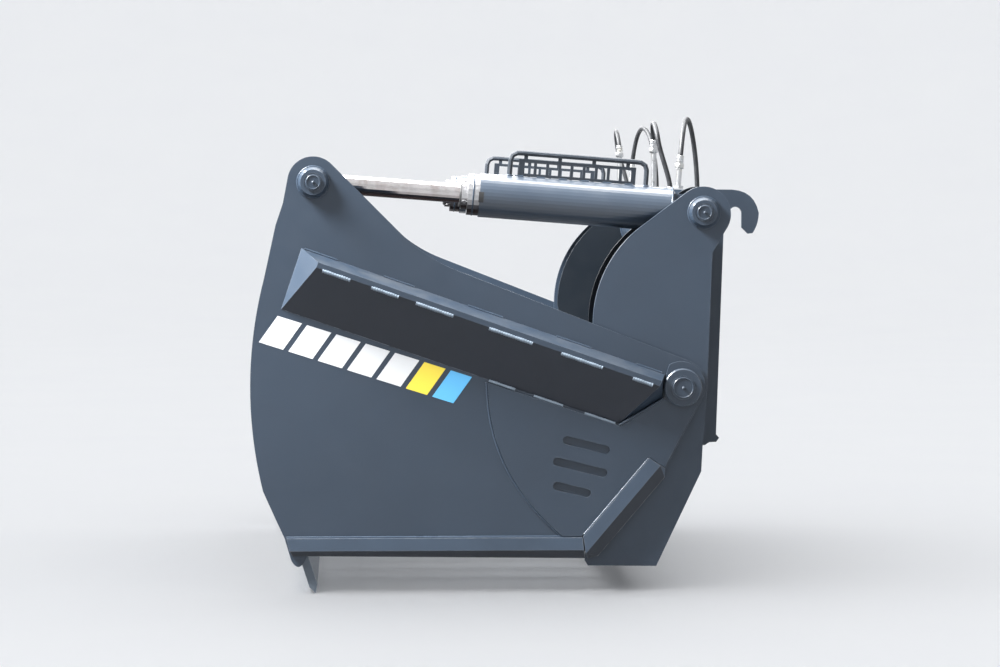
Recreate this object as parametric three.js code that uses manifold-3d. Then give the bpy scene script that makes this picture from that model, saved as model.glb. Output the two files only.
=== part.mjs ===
// Hydraulic silage shear grab for a loader: a fixed tine frame with loader hooks at the
// rear, and a bladed jaw that two hydraulic cylinders swing up about two pivots near the
// bottom rear. Millimetres, +Z up. The front (jaw) is at -X, the loader side at +X, and the
// left-hand side, as a driver behind the grab sees it, at -Y.
//
// Every drawing dimension below is taken from the jaw pivot axis, X rearward and Z up. The
// closing group moves the whole grab so that its origin is at the bottom centre of its box.

import * as THREE from 'three';
import { ConvexGeometry } from 'three/addons/geometries/ConvexGeometry.js';
import { mergeVertices } from 'three/addons/utils/BufferGeometryUtils.js';
import Module from 'manifold-3d';

const wasm = await Module();
wasm.setup();

// ---------------------------------------------------------------- driving dimensions

const GAP = 0.3;                    // clearance between pieces that touch
const HALF_WIDTH = 900;             // middle of the grab to the outer face of a jaw side plate
const JAW_PLATE = 12;               // jaw side plate thickness
const FRAME_PLATE = 15;             // frame side, inner and hook plate thickness
const FRAME_OUTER = HALF_WIDTH - JAW_PLATE - 6;        // outer face of a frame side plate
const FRAME_INNER = FRAME_OUTER - FRAME_PLATE;         // its inner face
const CLEVIS_OUTER = 702;           // outer face of the inner clevis plate and inner jaw lug
const LUG_PLATE = 12;               // inner clevis plate and inner jaw lug thickness
const CYLINDER_Y = 785;             // plane of each cylinder's axis
const HOOK_Y = 500;                 // inner face of each loader hook plate

const PIVOT_PIN_R = 30;
const RAM_PIN_R = 22.5;
const PIN_PLAY = 0.5;               // radial clearance of a pin in its plates
const REAR_PIN = { x: 57, z: 456 };     // cylinder base pin, on the frame
const ROD_PIN = { x: -962.5, z: 535 };  // cylinder rod pin, on the jaw

const JAW_RADIUS = 1127;            // front edge of the jaw side plate about the pivot
const SHELL_R = 1095;               // outer face of the jaw's front shell
const SHELL_PLATE = 10;
const BLADE_TILT = THREE.MathUtils.degToRad(17.5);
const BLADE_TIP = { x: -958, z: -537 };
const BLADE_THICK = 22;

const TOP_TUBE = { x: 20, z: 400, r: 57, wall: 6 };
const JAW_TUBE = { x: -951, z: 355, r: 57, wall: 6 };
const BEAM = { front: -190, rear: -72, bottom: -466, top: -366, wall: 8 };
const TINE_COUNT = 8;
const TINE_PITCH = 215;
const TINE_Z = -416;
const TINE_TIP_X = -945;
const HOOK_NOSE_X = 244;

const BARREL_R = 57.5;
const BORE_R = 50;
const ROD_R = 25;
const BARREL_END = 586;             // from the base pin to the front of the barrel
const HOSE_R = 6.5;

const deg = THREE.MathUtils.degToRad;
const SIDES = [{ side: -1, hand: 'left' }, { side: 1, hand: 'right' }];

// ---------------------------------------------------------------- finishes

const paint = new THREE.MeshStandardMaterial({ color: 0x4b5765, roughness: 0.45, metalness: 0.1 });
const darkPaint = new THREE.MeshStandardMaterial({ color: 0x3f4955, roughness: 0.5, metalness: 0.1 });
const knifeSteel = new THREE.MeshStandardMaterial({ color: 0x515d6c, roughness: 0.4, metalness: 0.3 });
const chrome = new THREE.MeshStandardMaterial({ color: 0xc9cccf, roughness: 0.12, metalness: 1 });
const zinc = new THREE.MeshStandardMaterial({ color: 0xb9bcc0, roughness: 0.35, metalness: 0.9 });
const rubber = new THREE.MeshStandardMaterial({ color: 0x1d1f22, roughness: 0.7, metalness: 0 });

// ---------------------------------------------------------------- geometry helpers

// A geometry with only positions, shared vertices and no triangle without area.
function weld(geometry) {
  const bare = geometry.clone();
  bare.deleteAttribute('normal');
  bare.deleteAttribute('uv');
  const merged = mergeVertices(bare, 1e-3);
  const kept = [];
  const index = merged.index.array;
  for (let i = 0; i < index.length; i += 3) {
    const [a, b, c] = [index[i], index[i + 1], index[i + 2]];
    if (a !== b && b !== c && c !== a) kept.push(a, b, c);
  }
  merged.setIndex(kept);
  return merged;
}

function toSolid(geometry) {
  const bare = weld(geometry);
  return new wasm.Manifold(new wasm.Mesh({
    numProp: 3,
    vertProperties: new Float32Array(bare.attributes.position.array),
    triVerts: new Uint32Array(bare.index.array),
  }));
}

function toGeometry(solid) {
  const mesh = solid.getMesh();
  const geometry = new THREE.BufferGeometry();
  geometry.setAttribute('position', new THREE.BufferAttribute(mesh.vertProperties, 3));
  geometry.setIndex(new THREE.BufferAttribute(mesh.triVerts, 1));
  return geometry;
}

// Joins the geometries in one list and cuts those in the other from the result.
function carve(joined, cut = []) {
  let solid = toSolid(joined[0]);
  for (const geometry of joined.slice(1)) solid = solid.add(toSolid(geometry));
  for (const geometry of cut) solid = solid.subtract(toSolid(geometry));
  return toGeometry(solid);
}

// A flat plate: an outline drawn in X and Z, between two distances out from the middle.
function plate(outline, side, inner, outer, curveSegments = 10) {
  const depth = outer - inner;
  const geometry = new THREE.ExtrudeGeometry(outline, { depth, bevelEnabled: false, curveSegments });
  geometry.rotateX(Math.PI / 2);
  geometry.translate(0, side > 0 ? outer : -inner, 0);
  return geometry;
}

function roundHole(outline, x, z, r) {
  const hole = new THREE.Path();
  hole.absarc(x, z, r, 0, 2 * Math.PI, false);
  outline.holes.push(hole);
}

// A round piece turned about the Y axis from [radius, distance out] pairs.
function turned(profile, side, x, z, segments = 24) {
  const geometry = new THREE.LatheGeometry(profile.map(([r, y]) => new THREE.Vector2(r, y)), segments);
  if (side < 0) geometry.rotateX(Math.PI);
  return geometry.translate(x, 0, z);
}

// A round tube along Y, or a bar when the wall is left out.
function crossTube({ x, z, r, wall }, halfLength, segments = 32) {
  const profile = [[r - wall, -halfLength], [r, -halfLength], [r, halfLength], [r - wall, halfLength]];
  return turned([...profile, profile[0]], 1, x, z, segments);
}

function cylinderX(r, from, to, z = 0, segments = 24) {
  const geometry = new THREE.CylinderGeometry(r, r, to - from, segments);
  return geometry.rotateZ(Math.PI / 2).translate((from + to) / 2, 0, z);
}

function cylinderY(r, from, to, x, z, segments = 32) {
  const geometry = new THREE.CylinderGeometry(r, r, to - from, segments);
  return geometry.translate(x, (from + to) / 2, z);
}

function cylinderZ(r, from, to, x, y, segments = 20) {
  const geometry = new THREE.CylinderGeometry(r, r, to - from, segments);
  return geometry.rotateX(Math.PI / 2).translate(x, y, (from + to) / 2);
}

function box(low, high) {
  const size = high.map((value, i) => value - low[i]);
  const middle = high.map((value, i) => (value + low[i]) / 2);
  return new THREE.BoxGeometry(...size).translate(...middle);
}

// A round bar or hose along a smooth curve.
function bar(curve, r, steps, sides = 10) {
  const section = new THREE.Shape();
  section.absarc(0, 0, r, 0, 2 * Math.PI, false);
  const options = { steps, extrudePath: curve, bevelEnabled: false, curveSegments: sides / 2 };
  return new THREE.ExtrudeGeometry(section, options);
}

const hull = (points) => new ConvexGeometry(points.map((p) => new THREE.Vector3(...p)));

const grab = new THREE.Group();

function piece(parent, name, geometry, material) {
  const mesh = new THREE.Mesh(weld(geometry), material);
  mesh.name = name;
  parent.add(mesh);
  return mesh;
}

// ---------------------------------------------------------------- frame plates

// The edge that the side plate and the inner clevis plate share: a round about the rear
// pin, a straight fall to the front and a large arc that ends upright at FACE.
const FACE = { x: -233, z: 165 };
const ARC = { r: 321, from: 180, to: 128.6 };
const HEAD = { x: 56, z: 452, r: 72 };

function drawTopEdge(outline) {
  const arcX = FACE.x + ARC.r;
  outline.absarc(arcX, FACE.z, ARC.r, deg(ARC.from), deg(ARC.to), true);
  outline.absarc(HEAD.x, HEAD.z, HEAD.r, deg(ARC.to), deg(-37), true);
}

function frameSideOutline() {
  const outline = new THREE.Shape();
  outline.moveTo(FACE.x, FACE.z);
  drawTopEdge(outline);
  outline.lineTo(79, 350);
  outline.lineTo(66, -16);
  outline.lineTo(55, -156);
  outline.lineTo(51.5, -222);
  outline.lineTo(-66.5, -470);
  outline.lineTo(-246, -468);
  outline.lineTo(-254, -455);
  roundHole(outline, REAR_PIN.x, REAR_PIN.z, RAM_PIN_R + PIN_PLAY);
  roundHole(outline, 0, 0, PIVOT_PIN_R + PIN_PLAY);
  return outline;
}

function frameInnerOutline() {
  const outline = new THREE.Shape();
  outline.moveTo(FACE.x, FACE.z);
  drawTopEdge(outline);
  outline.lineTo(78, 378);
  outline.lineTo(63, 356);
  outline.lineTo(48, 0);
  outline.lineTo(45, -70);
  outline.lineTo(-210, 60);
  roundHole(outline, REAR_PIN.x, REAR_PIN.z, RAM_PIN_R + PIN_PLAY);
  return outline;
}

// The loader hook: an upright plate behind the back wall, its top end bent over into a
// downward hook for the carriage's top bar, and a small heel at its foot.
const HOOK_SEAT = { x: 180, z: 452, r: 17 };

function hookOutline() {
  const outline = new THREE.Shape();
  outline.moveTo(52, -130);
  outline.lineTo(62, 100);
  outline.lineTo(73, 356);
  outline.lineTo(73, 377.5);
  outline.absarc(TOP_TUBE.x, TOP_TUBE.z, TOP_TUBE.r + 0.5, deg(-23), deg(88), false);
  outline.lineTo(20, 470);
  outline.lineTo(58, 517);
  outline.lineTo(170, 516);
  outline.quadraticCurveTo(232, 513, HOOK_NOSE_X, 452);
  outline.quadraticCurveTo(243, 421, 227, 397.5);
  outline.lineTo(214, 396);
  outline.lineTo(HOOK_SEAT.x + HOOK_SEAT.r, 413);
  outline.absarc(HOOK_SEAT.x, HOOK_SEAT.z, HOOK_SEAT.r, 0, Math.PI, false);
  outline.lineTo(148, 406);
  outline.lineTo(128.5, -150);
  outline.lineTo(137, -160);
  outline.lineTo(129, -171);
  outline.lineTo(110, -172);
  outline.lineTo(98, -180);
  outline.lineTo(70, -180);
  return outline;
}

// The back wall, one sheet bent once, drawn as its section and run across the grab.
function backWall() {
  const section = new THREE.Shape();
  section.moveTo(64, 356);
  section.lineTo(72, 356);
  section.lineTo(48.5, -198);
  section.lineTo(-58, -365);
  section.lineTo(-68, -365);
  section.lineTo(40, -195);
  return plate(section, 1, -FRAME_INNER + GAP, FRAME_INNER - GAP);
}

for (const { side, hand } of SIDES) {
  const inner = CLEVIS_OUTER - LUG_PLATE;
  piece(grab, `frame_side_plate_${hand}`, plate(frameSideOutline(), side, FRAME_INNER, FRAME_OUTER), paint);
  piece(grab, `frame_inner_plate_${hand}`, plate(frameInnerOutline(), side, inner, CLEVIS_OUTER), paint);
  piece(grab, `hook_plate_${hand}`, plate(hookOutline(), side, HOOK_Y, HOOK_Y + FRAME_PLATE, 6), paint);
}
piece(grab, 'back_plate', backWall(), darkPaint);
piece(grab, 'top_cross_tube', crossTube(TOP_TUBE, CLEVIS_OUTER - LUG_PLATE - GAP), paint);

// ---------------------------------------------------------------- lower beam and tines

const SHANK_R = 16;

function tineY(number) {
  return (number - (TINE_COUNT - 1) / 2) * TINE_PITCH;
}

function lowerBeam() {
  const end = FRAME_INNER - GAP;
  const { front, rear, bottom, top, wall } = BEAM;
  const outside = box([front, -end, bottom], [rear, end, top]);
  const hollow = box([front + wall, -end - 1, bottom + wall], [rear - wall, end + 1, top - wall]);
  const holes = [];
  for (let number = 0; number < TINE_COUNT; number += 1) {
    const hole = cylinderX(SHANK_R + 1, front - 1, rear + 1, TINE_Z, 12);
    holes.push(hole.translate(0, tineY(number), 0));
  }
  return carve([outside], [hollow, ...holes]);
}

// A forged tine: threaded shank through the beam, collar, and a long taper to a blunt point.
function tine() {
  const from = BEAM.front - GAP;
  const profile = [
    [0, TINE_TIP_X], [3, TINE_TIP_X + 2], [8, TINE_TIP_X + 40], [14, TINE_TIP_X + 210],
    [19, from - 190], [20, from - 34], [25, from - 30], [25, from],
    [SHANK_R, from], [SHANK_R, BEAM.rear + 38], [0, BEAM.rear + 38],
  ];
  const points = profile.map(([r, x]) => new THREE.Vector2(r, x));
  return new THREE.LatheGeometry(points, 12).rotateZ(-Math.PI / 2);
}

piece(grab, 'lower_beam', lowerBeam(), paint);
for (let number = 0; number < TINE_COUNT; number += 1) {
  const mesh = piece(grab, `tine_${number + 1}`, tine(), darkPaint);
  mesh.position.set(0, tineY(number), TINE_Z);
}

// ---------------------------------------------------------------- pivot and ram pins

const DOUBLER = 8;
const KNIFE = 16;                                  // knife thickness, on the jaw plate's face
const DOUBLER_FACE = HALF_WIDTH + GAP + DOUBLER;

// A pivot pin: a flat head outside the doubler and a shank into the frame side plate.
function pivotPin(side) {
  const head = DOUBLER_FACE + GAP;
  const tail = FRAME_INNER - 12;
  const profile = [
    [0, tail], [PIVOT_PIN_R, tail], [PIVOT_PIN_R, head], [50, head], [50, head + 13],
    [47, head + 16], [31, head + 16], [31, head + 19], [0, head + 19],
  ];
  return turned(profile, side, 0, 0, 28);
}

// A ram pin: a chamfered collar against the plate's outer face and a plain shank.
function ramPin(side, face, tail, { x, z }) {
  const profile = [
    [0, tail], [RAM_PIN_R, tail], [RAM_PIN_R, face], [40, face], [40, face + 10],
    [33, face + 22], [24, face + 22], [24, face + 18], [RAM_PIN_R, face + 18],
    [RAM_PIN_R, face + 26], [0, face + 26],
  ];
  return turned(profile, side, x, z);
}

const EYE_HALF = 25;                // half the width of the rod eye

for (const { side, hand } of SIDES) {
  const rearTail = CLEVIS_OUTER - LUG_PLATE;
  piece(grab, `pivot_pin_${hand}`, pivotPin(side), paint);
  piece(grab, `rear_pin_${hand}`, ramPin(side, FRAME_OUTER + GAP, rearTail, REAR_PIN), paint);
}

// ---------------------------------------------------------------- jaw side plates

const JAW_END = { x: -4, z: 6, r: 66 };            // rounded rear end, about the pivot
const LUG_R = 67;

function jawSideOutline() {
  const outline = new THREE.Shape();
  outline.moveTo(-1091, -268);
  outline.absarc(0, 0, JAW_RADIUS, deg(193.8), deg(165.4), true);
  outline.lineTo(-1060, 424);
  outline.lineTo(-1041, 480);
  outline.absarc(ROD_PIN.x, ROD_PIN.z, LUG_R, deg(172), deg(45), true);
  outline.lineTo(-735, 402);
  outline.quadraticCurveTo(-670, 337, -585, 304);
  outline.absarc(JAW_END.x, JAW_END.z, JAW_END.r, deg(69), deg(-27.6), true);
  outline.lineTo(-44, -213);
  outline.lineTo(-60, -238);
  outline.lineTo(-238, -428);
  outline.lineTo(-976, -428);
  outline.quadraticCurveTo(-988, -464, -1002, -467);
  outline.quadraticCurveTo(-1018, -464, -1024, -441);
  outline.lineTo(-1039, -391);
  outline.lineTo(-1064, -337);
  roundHole(outline, ROD_PIN.x, ROD_PIN.z, RAM_PIN_R + PIN_PLAY);
  roundHole(outline, 0, 0, PIVOT_PIN_R + PIN_PLAY);
  return outline;
}

// The pivot doubler, a cover plate with a curved front edge and three plug-weld slots.
function doublerOutline() {
  const outline = new THREE.Shape();
  outline.moveTo(-510, 14);
  outline.lineTo(-508, -20);
  outline.quadraticCurveTo(-497, -232, -314, -388);
  outline.lineTo(-264, -388);
  outline.lineTo(-89, -182);
  outline.lineTo(-47, -208);
  outline.absarc(JAW_END.x, JAW_END.z, JAW_END.r - 4, deg(-27.6), deg(120), false);
  outline.lineTo(-43, 34);
  outline.lineTo(-48, -30.5);
  outline.lineTo(-163, -101);
  roundHole(outline, 0, 0, PIVOT_PIN_R + PIN_PLAY);
  for (const [x, z, half] of [[-252, -150, 52], [-268, -208, 62], [-290, -266, 40]]) {
    outline.holes.push(plugSlot(x, z, half, 11, deg(-14)));
  }
  return outline;
}

// A slot with round ends, its half length to the end centres, turned by an angle.
function plugSlot(x, z, half, r, angle) {
  const [dx, dz] = [Math.cos(angle) * half, Math.sin(angle) * half];
  const slot = new THREE.Path();
  slot.absarc(x + dx, z + dz, r, angle - Math.PI / 2, angle + Math.PI / 2, false);
  slot.absarc(x - dx, z - dz, r, angle + Math.PI / 2, angle + 3 * Math.PI / 2, false);
  return slot;
}

// ---------------------------------------------------------------- outboard stiffener

const RIB = {
  slope: deg(-19.2),                // fall of the rib towards the rear
  frontTop: [-993, 364], frontFoot: [-1046.5, 205],
  rearTop: [-46.5, 35], rearFoot: [-167.7, -95.5], rearKnee: [-51.5, -27],
  reach: 70, drop: 19, nose: 14, plate: 8,
};

// A point moved along the rib and square down from it.
function alongRib([x, z], along, down) {
  const [c, s] = [Math.cos(RIB.slope), Math.sin(RIB.slope)];
  return [x + along * c + down * s, z + along * s - down * c];
}

// A pressed and welded wedge: a narrow shelf on top, a thin nose and a wide face that runs
// back in to the jaw plate. It is hollow and open towards the jaw plate.
function stiffener(side) {
  const back = HALF_WIDTH + GAP;
  const nose = back + RIB.reach;
  const at = ([x, z], y) => [x, side * y, z];
  const frontNose = alongRib(RIB.frontTop, 53, RIB.drop);
  const rearNose = alongRib(RIB.rearTop, -8, RIB.drop);
  const outside = hull([
    at(RIB.frontTop, back), at(RIB.frontFoot, back), at(RIB.rearTop, back), at(RIB.rearFoot, back),
    at(RIB.rearKnee, back),
    at(frontNose, nose), at(rearNose, nose),
    at(alongRib(frontNose, 0, RIB.nose), nose), at(alongRib(rearNose, 0, RIB.nose), nose),
  ]);
  const open = back - 5;
  const hollow = hull([
    at(alongRib(RIB.frontTop, 14, RIB.plate), open), at(alongRib(RIB.rearTop, -14, RIB.plate), open),
    at(alongRib(RIB.frontFoot, 14, -RIB.plate), open), at(alongRib(RIB.rearFoot, -10, -RIB.plate), open),
    at(alongRib(frontNose, 14, RIB.plate), nose - 12), at(alongRib(rearNose, -14, RIB.plate), nose - 12),
  ]);
  return carve([outside], [hollow]);
}

// ---------------------------------------------------------------- side knives

const KNIFE_EDGE = 3;               // thickness left at the ground edge

// The bottom knife: a flat bar with its lower half bevelled on the outer face.
function bottomKnife(side) {
  const back = HALF_WIDTH + GAP;
  const ends = [
    { x: -1033, foot: -1019, low: -438 },
    { x: -262.5, foot: -254.5, low: -446.5 },
  ];
  const points = [];
  for (const { x, foot, low } of ends) {
    points.push([x, back, -391], [x, back + KNIFE, -391], [(x + foot) / 2, back + KNIFE, -424]);
    points.push([foot, back, low], [foot, back + KNIFE_EDGE, low]);
  }
  return hull(points.map(([x, y, z]) => [x, side * y, z]));
}

// The diagonal knife up the rear edge, bevelled like the bottom one. Its outline is drawn
// along the blade from the top end and across it from the inner edge.
function diagonalKnife(side) {
  const back = HALF_WIDTH + GAP;
  const start = { x: -87, z: -184.5 };
  const [c, s] = [-0.647, -0.762];
  const at = (along, across, y) =>
    [start.x + along * c - across * s, side * y, start.z + along * s + across * c];
  const flat = [[0, 0], [-4, 34], [268, 0], [297, 34]];
  const rim = [[-6, 50], [13, 64], [282, 64], [304, 47]];
  const points = flat.flatMap(([t, w]) => [at(t, w, back), at(t, w, back + KNIFE)]);
  points.push(...rim.flatMap(([t, w]) => [at(t, w, back), at(t, w, back + KNIFE_EDGE)]));
  return hull(points);
}

// ---------------------------------------------------------------- jaw front and top

const shellTop = deg(158.5);
const shellTurn = deg(196);         // below this the shell runs straight down to the blade

// A point on the blade's middle plane, a distance up from the tip, moved square to it.
function onBlade(up, forward) {
  const [c, s] = [Math.cos(BLADE_TILT), Math.sin(BLADE_TILT)];
  return [BLADE_TIP.x - up * s - forward * c, BLADE_TIP.z + up * c - forward * s];
}

function frontShell() {
  const inside = SHELL_R - SHELL_PLATE;
  const near = BLADE_THICK / 2 + GAP;
  const section = new THREE.Shape();
  section.moveTo(SHELL_R * Math.cos(shellTop), SHELL_R * Math.sin(shellTop));
  section.absarc(0, 0, SHELL_R, shellTop, shellTurn, false);
  section.lineTo(...onBlade(96, near + SHELL_PLATE));
  section.lineTo(...onBlade(96, near));
  section.lineTo(...onBlade(232, near));
  section.absarc(0, 0, inside, shellTurn, shellTop, true);
  const reach = HALF_WIDTH - JAW_PLATE - GAP;
  return plate(section, 1, -reach, reach, 14);
}

// The front blade, a straight bar ground to a chisel point.
function frontBlade() {
  const half = BLADE_THICK / 2;
  const section = new THREE.Shape();
  section.moveTo(...onBlade(0, 0));
  section.lineTo(...onBlade(20, half));
  section.lineTo(...onBlade(190, half));
  section.lineTo(...onBlade(190, -half));
  section.lineTo(...onBlade(20, -half));
  const reach = HALF_WIDTH - JAW_PLATE - GAP;
  return plate(section, 1, -reach, reach);
}

// The inner lug, which carries the inner end of the rod pin and the jaw's cross tube. A
// boss on its outer face fills the space up to the rod eye.
function innerLug(side) {
  const outline = new THREE.Shape();
  const inside = SHELL_R - SHELL_PLATE - GAP;
  outline.moveTo(-872, 380);
  outline.lineTo(-884, 300);
  outline.lineTo(-1048, 142);
  outline.lineTo(-1072, 142);
  outline.absarc(0, 0, inside, deg(172.4), deg(158.4), true);
  outline.lineTo(-1022, 403);
  outline.absarc(ROD_PIN.x, ROD_PIN.z, LUG_R, deg(188), deg(-12), true);
  roundHole(outline, JAW_TUBE.x, JAW_TUBE.z, JAW_TUBE.r + 1.2);
  const wall = plate(outline, side, CLEVIS_OUTER - LUG_PLATE, CLEVIS_OUTER);
  const [from, to] = [CLEVIS_OUTER - 4, CYLINDER_Y - EYE_HALF - 2];
  const boss = cylinderY(40, side > 0 ? from : -to, side > 0 ? to : -from, ROD_PIN.x, ROD_PIN.z);
  return carve([wall, boss]);
}

const plateInside = HALF_WIDTH - JAW_PLATE;
for (const { side, hand } of SIDES) {
  const face = HALF_WIDTH + GAP;
  const doubler = plate(doublerOutline(), side, face, DOUBLER_FACE);
  piece(grab, `jaw_side_plate_${hand}`, plate(jawSideOutline(), side, plateInside, HALF_WIDTH), paint);
  piece(grab, `pivot_doubler_${hand}`, doubler, paint);
  piece(grab, `stiffener_${hand}`, stiffener(side), paint);
  piece(grab, `bottom_knife_${hand}`, bottomKnife(side), knifeSteel);
  piece(grab, `diagonal_knife_${hand}`, diagonalKnife(side), knifeSteel);
  piece(grab, `inner_lug_${hand}`, innerLug(side), paint);
  piece(grab, `rod_pin_${hand}`, ramPin(side, face, CYLINDER_Y + EYE_HALF + 2, ROD_PIN), paint);
}
piece(grab, 'front_shell', frontShell(), paint);
piece(grab, 'front_blade', frontBlade(), knifeSteel);
piece(grab, 'jaw_cross_tube', crossTube(JAW_TUBE, plateInside - GAP), paint);

// ---------------------------------------------------------------- hydraulic cylinders

// Each cylinder is drawn along -X from its base pin, in a group turned to its closed angle.
const RAM_ANGLE = Math.atan2(ROD_PIN.z - REAR_PIN.z, REAR_PIN.x - ROD_PIN.x);
const RAM_LENGTH = Math.hypot(ROD_PIN.x - REAR_PIN.x, ROD_PIN.z - REAR_PIN.z);
const PISTON = { from: 495, to: 545 };
const GLAND = { spigot: 556, step: 617, front: 633, headR: 54, stepR: 41 };

// A round piece turned about the cylinder's axis from [radius, distance from the pin].
function ramTurned(profile, segments = 24) {
  const points = profile.map(([r, d]) => new THREE.Vector2(r, d));
  return new THREE.LatheGeometry(points, segments).rotateZ(Math.PI / 2);
}

// An eye of the given radius and width about a Y axis, with its neck along the cylinder.
function eye(at, r, halfWidth, neckFrom, neckTo, neckHalf) {
  const ring = cylinderY(r, -halfWidth, halfWidth, -at, 0);
  const neck = box([-neckTo, -halfWidth, -neckHalf], [-neckFrom, halfWidth, neckHalf]);
  return [ring, neck];
}

function barrel() {
  const tube = ramTurned([
    [0, 70], [46, 70], [BARREL_R, 80], [BARREL_R, BARREL_END], [BORE_R, BARREL_END], [BORE_R, 95], [0, 95],
  ], 40);
  const bore = cylinderY(RAM_PIN_R + PIN_PLAY, -80, 80, 0, 0);
  return carve([tube, ...eye(0, 48, 30, 0, 78, 44)], [bore]);
}

function gland() {
  const { spigot, step, front, headR, stepR } = GLAND;
  const bore = ROD_R + PIN_PLAY;
  const profile = [
    [bore, spigot], [BORE_R - GAP, spigot], [BORE_R - GAP, BARREL_END + GAP],
    [headR, BARREL_END + GAP], [headR, step], [stepR, step], [stepR, front], [bore, front],
  ];
  return ramTurned([...profile, profile[0]]);
}

function rod() {
  const spigot = 20;
  return ramTurned([
    [0, PISTON.from - 12], [spigot, PISTON.from - 12], [spigot, PISTON.to + GAP], [ROD_R, PISTON.to + GAP],
    [ROD_R, RAM_LENGTH - 60], [0, RAM_LENGTH - 60],
  ]);
}

function piston() {
  const bore = 20 + PIN_PLAY;
  const outer = BORE_R - GAP;
  const profile = [[bore, PISTON.from], [outer, PISTON.from], [outer, PISTON.to], [bore, PISTON.to]];
  return ramTurned([...profile, profile[0]]);
}

function rodEye() {
  const near = RAM_LENGTH - 60 + GAP;
  const parts = eye(RAM_LENGTH, 46, EYE_HALF, near, RAM_LENGTH, 30);
  return carve(parts, [cylinderY(RAM_PIN_R + PIN_PLAY, -60, 60, -RAM_LENGTH, 0)]);
}

// The hose guard over the barrel: a bent round bar and, under it, a slotted sheet that
// hangs from the bar on four tabs.
const GUARD = { rear: 150, front: 510, height: 119, barR: 6.5, bend: 24, sheet: 4 };

function guardBar() {
  const { rear, front, height, bend } = GUARD;
  const foot = BARREL_R + 0.8;
  const path = new THREE.CurvePath();
  const point = (d, h) => new THREE.Vector3(-d, 0, h);
  const corner = (d, towards) => new THREE.QuadraticBezierCurve3(
    towards > 0 ? point(d, height - bend) : point(d - bend, height),
    point(d, height),
    towards > 0 ? point(d + bend, height) : point(d, height - bend),
  );
  path.add(new THREE.LineCurve3(point(rear, foot), point(rear, height - bend)));
  path.add(corner(rear, 1));
  path.add(new THREE.LineCurve3(point(rear + bend, height), point(front - bend, height)));
  path.add(corner(front, -1));
  path.add(new THREE.LineCurve3(point(front, height - bend), point(front, foot)));
  return bar(path, GUARD.barR, 34, 8);
}

function guardSheet() {
  const half = GUARD.sheet / 2;
  const [from, to] = [178, 488];
  const [low, high] = [BARREL_R + 0.8, GUARD.height - 15];
  const sheet = box([-to, -half, low], [-from, half, high]);
  const windows = 9;
  const pitch = (to - from - 20) / windows;
  const cuts = [];
  for (let i = 0; i < windows; i += 1) {
    const x = -from - 12 - pitch * i;
    cuts.push(box([x - pitch + 8, -9, low + 8], [x, 9, high - 8]));
  }
  const tabs = [200, 290, 380, 470].map((d) => box([-d - 5, -half, high - 1], [-d + 5, half, GUARD.height]));
  return { sheet, cuts, tabs };
}

function hoseGuard() {
  const { sheet, cuts, tabs } = guardSheet();
  return carve([sheet, ...tabs, guardBar()], cuts);
}

// The pipe that takes oil along the inboard side of the barrel to its rod end.
const PIPE = { r: 6, out: 70, rear: 76, top: 28, front: 566 };

function transferPipe(side) {
  const at = (d, out, z) => new THREE.Vector3(-d, -side * out, z);
  const curve = new THREE.CatmullRomCurve3([
    at(PIPE.rear, PIPE.out, PIPE.top), at(PIPE.rear, PIPE.out, PIPE.top - 14), at(84, PIPE.out, 4),
    at(112, PIPE.out, 0), at(240, PIPE.out, 0), at(400, PIPE.out, 0), at(530, PIPE.out, 0),
    at(556, PIPE.out - 1, 0), at(PIPE.front, BARREL_R + 6, 0),
  ]);
  return bar(curve, PIPE.r, 26, 8);
}

// The base port adapter: a hexagon seat and a plain stem up to the hose.
const PORT = { at: 64, seat: 66, top: 112 };

function portAdapter() {
  const [x, y] = [-PORT.at, 0];
  const seat = cylinderZ(15, BARREL_R + 0.5, PORT.seat, x, y, 6);
  const stem = cylinderZ(7.5, PORT.seat - 3, PORT.top, x, y);
  return carve([seat, stem]);
}

for (const { side, hand } of SIDES) {
  const ram = new THREE.Group();
  ram.position.set(REAR_PIN.x, side * CYLINDER_Y, REAR_PIN.z);
  ram.rotation.y = RAM_ANGLE;
  piece(ram, `barrel_${hand}`, barrel(), paint);
  piece(ram, `gland_${hand}`, gland(), zinc);
  piece(ram, `hose_guard_${hand}`, hoseGuard(), darkPaint);
  piece(ram, `transfer_pipe_${hand}`, transferPipe(side), zinc);
  piece(ram, `port_adapter_${hand}`, portAdapter(), zinc);
  piece(ram, `rod_${hand}`, rod(), chrome);
  piece(ram, `rod_eye_${hand}`, rodEye(), paint);
  piece(ram, `piston_${hand}`, piston(), zinc);
  grab.add(ram);
}

// ---------------------------------------------------------------- hose blocks and hoses

// A block on the top tube that takes both hoses of one cylinder: a tall riser at its front
// end and a short fitting at its rear end.
const BLOCK = { low: [-64, 580, 457.3], high: [80, 636, 477.3] };
const RISER = { x: -50, y: 596, top: 616, r: 7.5 };
const FITTING = { x: 65, y: 620, top: 488, r: 9 };

function hoseBlock(side) {
  const [yNear, yFar] = side > 0 ? [BLOCK.low[1], BLOCK.high[1]] : [-BLOCK.high[1], -BLOCK.low[1]];
  const foot = BLOCK.high[2];
  const body = box([BLOCK.low[0], yNear, BLOCK.low[2]], [BLOCK.high[0], yFar, foot]);
  const stems = [RISER, FITTING].flatMap(({ x, y, top, r }) => [
    cylinderZ(14, foot - 2, foot + 9, x, side * y, 6),
    cylinderZ(r, foot, top - GAP, x, side * y, 16),
  ]);
  return carve([body, ...stems]);
}

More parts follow.
